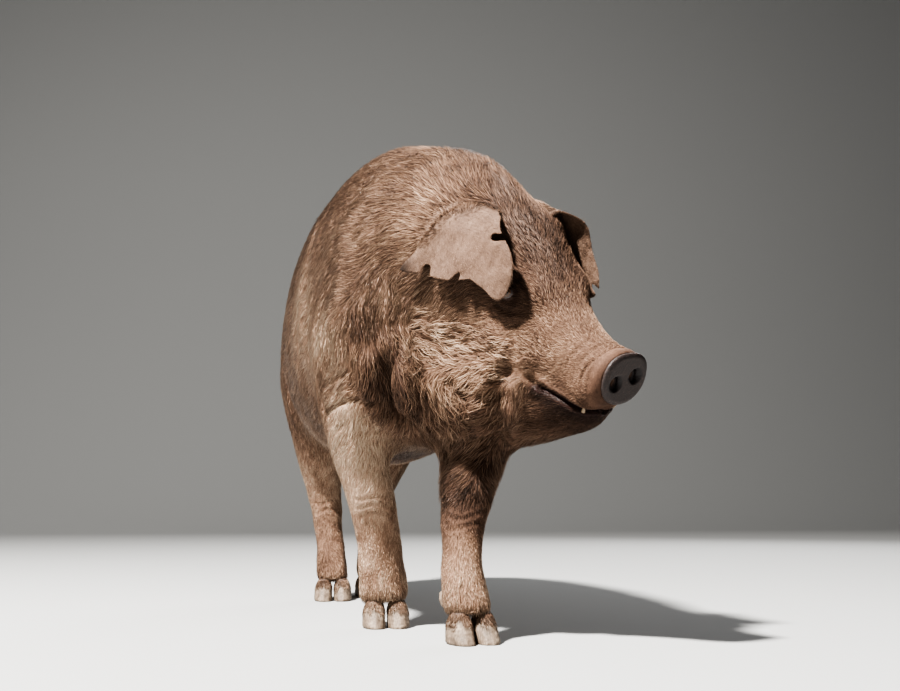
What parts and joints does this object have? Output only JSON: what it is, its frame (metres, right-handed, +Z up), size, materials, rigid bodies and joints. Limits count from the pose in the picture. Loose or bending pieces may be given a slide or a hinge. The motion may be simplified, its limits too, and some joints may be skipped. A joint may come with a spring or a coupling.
{
  "type": "standing pig",
  "caption": "Life-size museum model of a heavy lop-eared bristly pig in mid-step, its head lowered and turned to its left, with notched ears, round snout disc and cloven feet.",
  "frame": {"origin": "on the floor, under the middle of the bounding box", "axes": "+Z up; the pig looks along -Y and its left side is +X, with its head turned towards +X"},
  "size_m": [0.506, 1.47, 0.9307],
  "materials": {
    "coat": "matt bristly hair over skin",
    "ear_skin": "matt thin skin with short down",
    "disc_skin": "moist dark bare skin",
    "hoof_horn": "dull pale horn",
    "eye": "wet and dark",
    "enamel": "smooth, yellowed"
  },
  "bodies": {
    "root": {"ear_left": "ear_skin", "ear_right": "ear_skin", "eye_left": "eye", "eye_right": "eye", "foreleg_left_claw_left": "hoof_horn", "foreleg_left_claw_right": "hoof_horn", "foreleg_left_dewclaw_left": "hoof_horn", "foreleg_left_dewclaw_right": "hoof_horn", "foreleg_left_lower": "coat", "foreleg_left_upper": "coat", "foreleg_right_claw_left": "hoof_horn", "foreleg_right_claw_right": "hoof_horn", "foreleg_right_dewclaw_left": "hoof_horn", "foreleg_right_dewclaw_right": "hoof_horn", "foreleg_right_lower": "coat", "foreleg_right_upper": "coat", "head": "coat", "hindleg_left_claw_left": "hoof_horn", "hindleg_left_claw_right": "hoof_horn", "hindleg_left_dewclaw_left": "hoof_horn", "hindleg_left_dewclaw_right": "hoof_horn", "hindleg_left_lower": "coat", "hindleg_left_upper": "coat", "hindleg_right_claw_left": "hoof_horn", "hindleg_right_claw_right": "hoof_horn", "hindleg_right_dewclaw_left": "hoof_horn", "hindleg_right_dewclaw_right": "hoof_horn", "hindleg_right_lower": "coat", "hindleg_right_upper": "coat", "lower_jaw": "coat", "neck": "coat", "snout_disc": "disc_skin", "tail": "coat", "trunk": "coat", "tusk_left": "enamel", "tusk_right": "enamel"}
  },
  "joints": []
}
